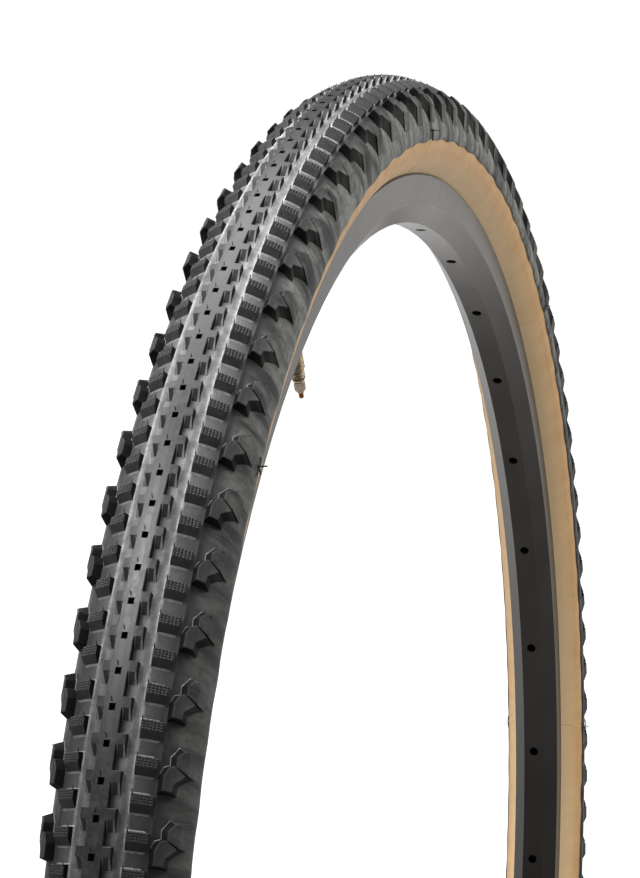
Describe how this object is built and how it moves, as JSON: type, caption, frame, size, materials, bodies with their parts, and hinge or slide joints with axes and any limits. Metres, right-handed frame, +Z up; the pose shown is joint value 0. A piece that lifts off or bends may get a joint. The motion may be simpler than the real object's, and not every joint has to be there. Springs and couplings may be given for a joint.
{
  "type": "bicycle tire",
  "caption": "Knobbly gravel tyre with tan sidewalls on a dark box-section rim, with its inner tube and slim threaded valve.",
  "frame": {"origin": "wheel centre, in the wheel's middle plane", "axes": "+Y along the wheel's axle, +Z up, the valve lies 30 degrees from +Z towards -X"},
  "size_m": [0.7128, 0.0438, 0.7127],
  "materials": {
    "rim_alloy": "matt dark grey anodised, drawn along the extrusion",
    "sleeve_alloy": "plain mill finish",
    "tape": "woven nylon tape",
    "casing_ply": "rubbered nylon cord",
    "breaker_fabric": "dense woven strip",
    "bead_wire": "brassed steel wire bundle",
    "tan_skin": "tan rubber skin over the ply, matt",
    "chafer_rubber": "matt",
    "tread_rubber": "moulded tread rubber, matt with a dusty bloom in the grooves",
    "tube_rubber": "butyl rubber, matt",
    "valve_plated": "nickel plated brass",
    "pin_brass": "bare brass",
    "seal_rubber": "matt"
  },
  "bodies": {
    "root": {"rim": "rim_alloy", "rim_joint_sleeve": "sleeve_alloy", "rim_tape": "tape", "carcass": "casing_ply", "bead_core_right": "bead_wire", "bead_core_left": "bead_wire", "breaker_strip": "breaker_fabric", "sidewall_right": "tan_skin", "sidewall_left": "tan_skin", "chafer_right": "chafer_rubber", "chafer_left": "chafer_rubber", "tread": "tread_rubber", "middle_knobs_right": "tread_rubber", "middle_knobs_left": "tread_rubber", "shoulder_knobs_right": "tread_rubber", "shoulder_knobs_left": "tread_rubber", "inner_tube": "tube_rubber", "valve_base_patch": "tube_rubber", "valve_stem": "valve_plated", "valve_core_body": "valve_plated", "core_gasket": "seal_rubber"},
    "pin": {"core_pin": "pin_brass", "plunger_seal": "seal_rubber"},
    "lock_nut": {"lock_nut": "valve_plated"},
    "nut_washer": {"rim_nut_washer": "seal_rubber"},
    "rim_nut": {"rim_nut": "valve_plated"}
  },
  "joints": [
    {"name": "lock_nut_turn", "type": "hinge", "parent": "root", "child": "lock_nut", "pos_m": [-0.1379, 0, 0.23885], "axis": [0.5, 0, -0.866], "range_deg": [0, 1585]},
    {"name": "pin_press", "type": "slide", "parent": "root", "child": "pin", "axis": [-0.5, 0, 0.866], "range_m": [0, 0.0022]},
    {"name": "washer_slide", "type": "slide", "parent": "root", "child": "nut_washer", "axis": [0.5, 0, -0.866], "range_m": [0, 0.008]},
    {"name": "rim_nut_turn", "type": "hinge", "parent": "nut_washer", "child": "rim_nut", "pos_m": [-0.1477, 0, 0.25582], "axis": [0.5, 0, -0.866], "range_deg": [0, 3601]}
  ],
  "couplings": [
    {"joint": "lock_nut_turn", "follows": "pin_press", "rad_per_m": 12566},
    {"joint": "rim_nut_turn", "follows": "washer_slide", "rad_per_m": 7854}
  ]
}
